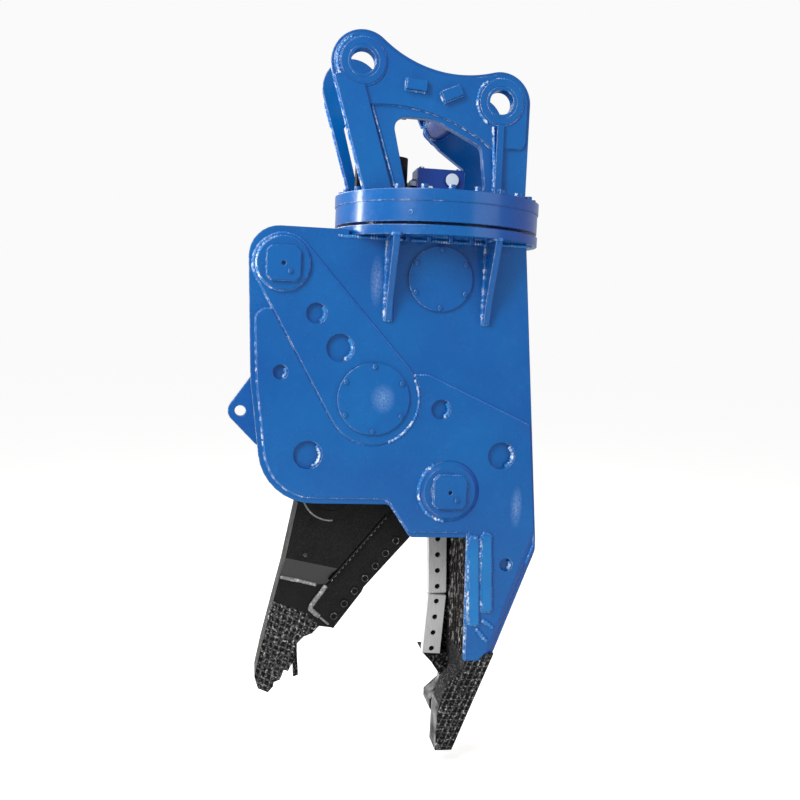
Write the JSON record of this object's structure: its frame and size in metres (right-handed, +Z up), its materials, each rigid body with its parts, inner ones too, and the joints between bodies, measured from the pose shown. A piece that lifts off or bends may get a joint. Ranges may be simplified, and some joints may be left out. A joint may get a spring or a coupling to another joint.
{
  "type": "car dismantling shear",
  "caption": "Excavator dismantling shear: turning head with two pin bores, plated body with one fixed jaw, and a hydraulic moving jaw with bolted blades.",
  "frame": {"origin": "centre of the arm pin bore, midway between the head plates", "axes": "+Z up towards the excavator arm, +X towards the link pin and the fixed jaw, +Y across, away from the side shown in the picture"},
  "size_m": [1.0709, 0.712, 2.4109],
  "materials": {
    "blue_paint": "glossy blue enamel",
    "machined_steel": "machined steel",
    "hardfacing": "rough hardfaced steel",
    "charcoal_paint": "satin charcoal paint",
    "blade_steel": "ground blade steel",
    "dark_paint": "satin blue paint"
  },
  "bodies": {
    "head": {"head_side_plate_near": "blue_paint", "head_side_plate_far": "blue_paint", "head_doubler_near": "blue_paint", "head_doubler_far": "blue_paint", "head_ribs_near": "blue_paint", "head_ribs_far": "blue_paint", "lug_collars": "blue_paint", "lug_bushes": "blue_paint", "head_cross_tube": "blue_paint", "link_stop_blocks": "blue_paint", "head_base_plate": "blue_paint", "head_ring_bolts": "blue_paint", "swivel_housing": "dark_paint", "hose_fittings": "machined_steel", "slew_motor": "charcoal_paint", "bearing_outer_ring": "blue_paint"},
    "pinion": {"slew_pinion": "machined_steel"},
    "frame": {"bearing_balls": "machined_steel", "bearing_inner_ring": "blue_paint", "lower_flange": "blue_paint", "lower_flange_bolts": "blue_paint", "swivel_core": "machined_steel", "side_plate_near": "blue_paint", "side_plate_far": "blue_paint", "strut_doubler_near": "blue_paint", "strut_doubler_far": "blue_paint", "lower_doubler_near": "blue_paint", "lower_doubler_far": "blue_paint", "flange_gussets": "blue_paint", "back_plate": "blue_paint", "front_plate": "blue_paint", "lifting_ear": "blue_paint", "cylinder_pin_bosses": "blue_paint", "cylinder_pin": "blue_paint", "cylinder_pin_keepers": "blue_paint", "upper_covers": "blue_paint", "lower_covers": "blue_paint", "cover_bolts": "blue_paint", "pivot_bosses": "blue_paint", "pivot_pin": "blue_paint", "pivot_keepers": "blue_paint", "thrust_washers": "machined_steel", "jaw_front_wall": "blue_paint", "wear_liner": "hardfacing", "blade_carrier": "hardfacing", "fixed_blade_upper": "blade_steel", "fixed_blade_lower": "blade_steel", "fixed_blade_bolts": "charcoal_paint", "wear_bars": "blue_paint", "fixed_tip": "hardfacing"},
    "barrel": {"cylinder_barrel": "dark_paint", "cylinder_gland": "machined_steel"},
    "rod": {"piston_rod": "blade_steel", "piston": "machined_steel"},
    "jaw": {"moving_jaw": "charcoal_paint", "jaw_pivot_bush": "machined_steel", "moving_blades": "blade_steel", "moving_blade_bolts": "charcoal_paint", "moving_tip": "hardfacing", "rod_pin": "charcoal_paint"}
  },
  "joints": [
    {"name": "slew", "type": "hinge", "parent": "head", "child": "frame", "pos_m": [0.3, 0, -0.48], "axis": [0, 0, 1], "continuous": true},
    {"name": "pinion_spin", "type": "hinge", "parent": "head", "child": "pinion", "pos_m": [0.135, 0, -0.45], "axis": [0, 0, 1], "continuous": true},
    {"name": "jaw_close", "type": "hinge", "parent": "frame", "child": "jaw", "pos_m": [0.35, 0, -1.397], "axis": [0, -1, 0], "range_deg": [0, 36]},
    {"name": "cylinder_tilt", "type": "hinge", "parent": "frame", "child": "barrel", "pos_m": [-0.233, 0, -0.658], "axis": [0, -1, 0], "range_deg": [0, 1.13]},
    {"name": "rod_stroke", "type": "slide", "parent": "barrel", "child": "rod", "axis": [0.2446, 0, -0.9696], "range_m": [0, 0.2418]}
  ],
  "couplings": [
    {"joint": "pinion_spin", "follows": "slew", "ratio": 3.5385},
    {"joint": "cylinder_tilt", "follows": "jaw_close", "ratio": 0.03085},
    {"joint": "rod_stroke", "follows": "jaw_close", "m_per_rad": 0.38408}
  ]
}
